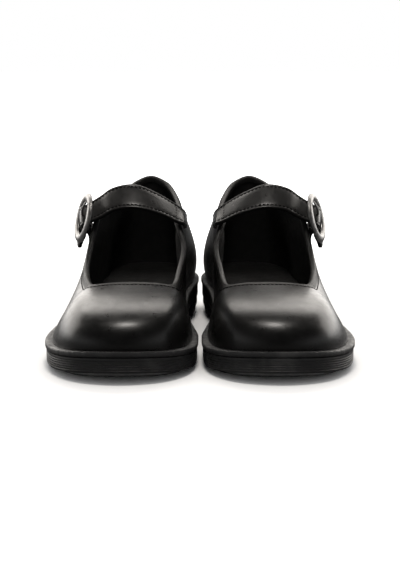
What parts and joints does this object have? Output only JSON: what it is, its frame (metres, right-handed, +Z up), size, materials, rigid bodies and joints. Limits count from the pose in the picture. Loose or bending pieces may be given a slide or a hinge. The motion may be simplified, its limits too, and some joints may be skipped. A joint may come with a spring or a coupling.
{
  "type": "strapped tap shoes",
  "caption": "Black leather bar shoes with a round side buckle on the instep strap, blunt toe, thick welted sole and screwed toe and heel tap plates, standing side by side.",
  "frame": {"origin": "centre of the pair's footprint on the floor", "axes": "+Z up, -Y towards the toes, +X towards the wearer's left"},
  "size_m": [0.1996, 0.2676, 0.1059],
  "materials": {
    "upper_leather": "smooth black calf with a soft polished shine",
    "sole_rubber": "matt black, fine horizontal striations on the edge",
    "welt_rubber": "matt black with small transverse nicks",
    "lining_leather": "matt black lining",
    "sock_leather": "matt black sock liner",
    "stiffener": "impregnated stiffener sheet",
    "insole_board": "fibre board",
    "cork": "granulated cork filler",
    "shank_steel": "tempered steel strip",
    "buckle_metal": "satin silver-coloured die casting",
    "tap_metal": "cast aluminium tap plate with scuffs",
    "screw_steel": "bright zinc-plated steel"
  },
  "bodies": {
    "left_shoe": {"left_outsole": "sole_rubber", "left_heel_block": "sole_rubber", "left_heel_top_lift": "sole_rubber", "left_welt": "welt_rubber", "left_bottom_filler": "cork", "left_shank": "shank_steel", "left_insole_board": "insole_board", "left_sock_liner": "sock_leather", "left_vamp": "upper_leather", "left_quarter_lateral": "upper_leather", "left_quarter_medial": "upper_leather", "left_back_stay": "upper_leather", "left_lining": "lining_leather", "left_toe_puff": "stiffener", "left_heel_counter": "stiffener", "left_topline_binding": "upper_leather", "left_toe_tap": "tap_metal", "left_heel_tap": "tap_metal", "left_toe_tap_screw_1": "screw_steel", "left_toe_tap_screw_2": "screw_steel", "left_toe_tap_screw_3": "screw_steel", "left_heel_tap_screw_1": "screw_steel", "left_heel_tap_screw_2": "screw_steel", "left_heel_tap_screw_3": "screw_steel"},
    "left_strap": {"left_strap": "upper_leather", "left_strap_lining": "lining_leather"},
    "left_buckle": {"left_chape": "upper_leather", "left_buckle_frame": "buckle_metal"},
    "left_prong": {"left_buckle_prong": "buckle_metal"},
    "right_shoe": {"right_outsole": "sole_rubber", "right_heel_block": "sole_rubber", "right_heel_top_lift": "sole_rubber", "right_welt": "welt_rubber", "right_bottom_filler": "cork", "right_shank": "shank_steel", "right_insole_board": "insole_board", "right_sock_liner": "sock_leather", "right_vamp": "upper_leather", "right_quarter_lateral": "upper_leather", "right_quarter_medial": "upper_leather", "right_back_stay": "upper_leather", "right_lining": "lining_leather", "right_toe_puff": "stiffener", "right_heel_counter": "stiffener", "right_topline_binding": "upper_leather", "right_toe_tap": "tap_metal", "right_heel_tap": "tap_metal", "right_toe_tap_screw_1": "screw_steel", "right_toe_tap_screw_2": "screw_steel", "right_toe_tap_screw_3": "screw_steel", "right_heel_tap_screw_1": "screw_steel", "right_heel_tap_screw_2": "screw_steel", "right_heel_tap_screw_3": "screw_steel"},
    "right_strap": {"right_strap": "upper_leather", "right_strap_lining": "lining_leather"},
    "right_buckle": {"right_chape": "upper_leather", "right_buckle_frame": "buckle_metal"},
    "right_prong": {"right_buckle_prong": "buckle_metal"}
  },
  "joints": [
    {"name": "right_shoe_slide", "type": "slide", "parent": "left_shoe", "child": "right_shoe", "axis": [-1, 0, 0], "range_m": [0, 0.15]},
    {"name": "left_strap_swing", "type": "hinge", "parent": "left_shoe", "child": "left_strap", "pos_m": [0.01, 0.0069, 0.079], "axis": [0, -1, 0], "range_deg": [0, 85], "deforming": ["left_strap", "left_strap_lining"]},
    {"name": "left_buckle_swing", "type": "hinge", "parent": "left_shoe", "child": "left_buckle", "pos_m": [0.07644, 0.01837, 0.06431], "axis": [-0.2166, 0.8365, 0.5033], "range_deg": [0, 100]},
    {"name": "left_prong_pivot", "type": "hinge", "parent": "left_buckle", "child": "left_prong", "pos_m": [0.07803, 0.00691, 0.08221], "axis": [0.088, 0.7971, 0.5974], "range_deg": [0, 90]},
    {"name": "right_strap_swing", "type": "hinge", "parent": "right_shoe", "child": "right_strap", "pos_m": [-0.01, 0.0069, 0.079], "axis": [0, 1, 0], "range_deg": [0, 85], "deforming": ["right_strap", "right_strap_lining"]},
    {"name": "right_buckle_swing", "type": "hinge", "parent": "right_shoe", "child": "right_buckle", "pos_m": [-0.07644, 0.01837, 0.06431], "axis": [-0.2166, -0.8365, -0.5033], "range_deg": [0, 100]},
    {"name": "right_prong_pivot", "type": "hinge", "parent": "right_buckle", "child": "right_prong", "pos_m": [-0.07803, 0.00691, 0.08221], "axis": [0.088, -0.7971, -0.5974], "range_deg": [0, 90]}
  ]
}
